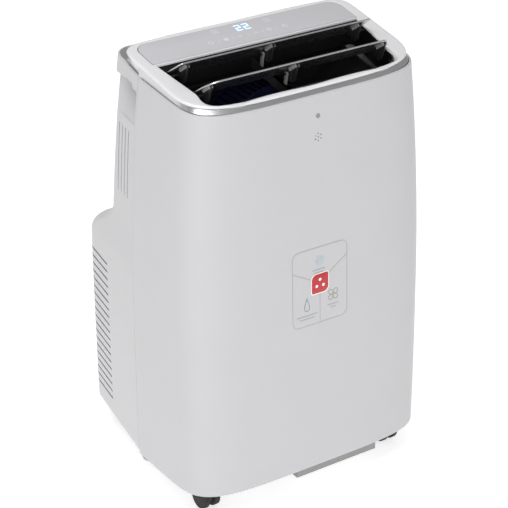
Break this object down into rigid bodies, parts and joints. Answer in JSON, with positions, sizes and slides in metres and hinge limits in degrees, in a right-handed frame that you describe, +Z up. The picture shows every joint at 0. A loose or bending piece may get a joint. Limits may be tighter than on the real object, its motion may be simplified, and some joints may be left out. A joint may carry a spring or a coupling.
{
  "type": "portable air conditioner",
  "caption": "Upright casing on swivel casters with a sloping top, tilting outlet louvers, a touch panel, rear intake filter, exhaust port and a complete cooling circuit inside.",
  "frame": {"origin": "on the floor, under the middle of the casing", "axes": "+Z up, -Y towards the front, +X to the right as seen from the front"},
  "size_m": [0.437, 0.395, 0.7083],
  "materials": {
    "white_casing": "white moulded plastic, semi-gloss",
    "white_bezel": "white moulded plastic, gloss",
    "silver_band": "satin silver plating",
    "silver_blade": "silver paint",
    "grey_panel": "light grey touch panel, satin",
    "black_plastic": "black moulded plastic",
    "grey_plastic": "grey moulded plastic",
    "steel_black": "black painted steel",
    "fins": "aluminium fins",
    "copper_tube": "copper tube",
    "blue_wheel": "dark blue moulded plastic",
    "foam": "white foam moulding",
    "zinc_plate": "zinc plated steel",
    "rubber": "black rubber",
    "board": "green circuit board",
    "mesh": "grey filter net"
  },
  "bodies": {
    "root": {"front_shell": "white_casing", "rear_shell": "white_casing", "trim_band": "silver_band", "top_bezel": "white_bezel", "control_panel": "grey_panel", "outlet_duct": "black_plastic", "louver_rib": "black_plastic", "louver_motor": "zinc_plate", "control_board": "board", "receiver_board": "board", "blower_scroll": "black_plastic", "blower_motor": "zinc_plate", "drip_tray": "foam", "evaporator": "fins", "base_pan": "grey_plastic", "compressor": "steel_black", "compressor_grommet_1": "rubber", "compressor_grommet_2": "rubber", "compressor_grommet_3": "rubber", "accumulator": "steel_black", "condenser_left": "fins", "condenser_right": "fins", "fan_housing": "black_plastic", "fan_motor": "zinc_plate", "exhaust_collar": "black_plastic", "electrical_box": "zinc_plate", "capacitor": "black_plastic", "suction_pipe": "copper_tube", "discharge_pipe": "copper_tube", "drain_spout_lower": "foam", "drain_spout_upper": "foam", "cord_gland": "black_plastic", "casing_screw_1": "zinc_plate", "casing_screw_2": "zinc_plate", "casing_screw_3": "zinc_plate", "casing_screw_4": "zinc_plate"},
    "louver_rear": {"louver_rear": "silver_blade"},
    "louver_front": {"louver_front": "silver_blade"},
    "blower": {"blower_wheel": "blue_wheel"},
    "exhaust_fan": {"fan_wheel": "black_plastic"},
    "filter_cassette": {"upper_grille": "white_casing", "air_filter": "mesh"},
    "drain_cap_lower": {"drain_cap_lower": "rubber"},
    "drain_cap_upper": {"drain_cap_upper": "rubber"},
    "caster_front_left": {"caster_fork_front_left": "black_plastic"},
    "wheels_front_left": {"caster_wheels_front_left": "rubber"},
    "caster_front_right": {"caster_fork_front_right": "black_plastic"},
    "wheels_front_right": {"caster_wheels_front_right": "rubber"},
    "caster_rear_left": {"caster_fork_rear_left": "black_plastic"},
    "wheels_rear_left": {"caster_wheels_rear_left": "rubber"},
    "caster_rear_right": {"caster_fork_rear_right": "black_plastic"},
    "wheels_rear_right": {"caster_wheels_rear_right": "rubber"}
  },
  "joints": [
    {"name": "louver_rear_swing", "type": "hinge", "parent": "root", "child": "louver_rear", "pos_m": [0, -0.05198, 0.67946], "axis": [-1, 0, 0], "range_deg": [-45.5, 12]},
    {"name": "louver_front_swing", "type": "hinge", "parent": "root", "child": "louver_front", "pos_m": [0, -0.11267, 0.66832], "axis": [-1, 0, 0], "range_deg": [-45.5, 12]},
    {"name": "blower_spin", "type": "hinge", "parent": "root", "child": "blower", "pos_m": [0, -0.0275, 0.54], "axis": [0, 1, 0], "continuous": true},
    {"name": "exhaust_fan_spin", "type": "hinge", "parent": "root", "child": "exhaust_fan", "pos_m": [0.018, 0.022, 0.206], "axis": [1, 0, 0], "continuous": true},
    {"name": "filter_pull", "type": "slide", "parent": "root", "child": "filter_cassette", "axis": [0, 0.9979, 0.0649], "range_m": [0, 0.08]},
    {"name": "drain_cap_lower_pull", "type": "slide", "parent": "root", "child": "drain_cap_lower", "axis": [0, 1, 0], "range_m": [0, 0.03]},
    {"name": "drain_cap_upper_pull", "type": "slide", "parent": "root", "child": "drain_cap_upper", "axis": [0, 1, 0], "range_m": [0, 0.03]},
    {"name": "caster_front_left_swivel", "type": "hinge", "parent": "root", "child": "caster_front_left", "pos_m": [-0.172, -0.1465, 0.05], "axis": [0, 0, 1], "continuous": true},
    {"name": "caster_front_left_roll", "type": "hinge", "parent": "caster_front_left", "child": "wheels_front_left", "pos_m": [-0.172, -0.1375, 0.02], "axis": [1, 0, 0], "continuous": true},
    {"name": "caster_front_right_swivel", "type": "hinge", "parent": "root", "child": "caster_front_right", "pos_m": [0.172, -0.1465, 0.05], "axis": [0, 0, 1], "continuous": true},
    {"name": "caster_front_right_roll", "type": "hinge", "parent": "caster_front_right", "child": "wheels_front_right", "pos_m": [0.172, -0.1375, 0.02], "axis": [1, 0, 0], "continuous": true},
    {"name": "caster_rear_left_swivel", "type": "hinge", "parent": "root", "child": "caster_rear_left", "pos_m": [-0.14, 0.1395, 0.05], "axis": [0, 0, 1], "continuous": true},
    {"name": "caster_rear_left_roll", "type": "hinge", "parent": "caster_rear_left", "child": "wheels_rear_left", "pos_m": [-0.14, 0.1485, 0.02], "axis": [1, 0, 0], "continuous": true},
    {"name": "caster_rear_right_swivel", "type": "hinge", "parent": "root", "child": "caster_rear_right", "pos_m": [0.14, 0.1395, 0.05], "axis": [0, 0, 1], "continuous": true},
    {"name": "caster_rear_right_roll", "type": "hinge", "parent": "caster_rear_right", "child": "wheels_rear_right", "pos_m": [0.14, 0.1485, 0.02], "axis": [1, 0, 0], "continuous": true}
  ],
  "couplings": [
    {"joint": "louver_front_swing", "follows": "louver_rear_swing", "ratio": 1}
  ]
}
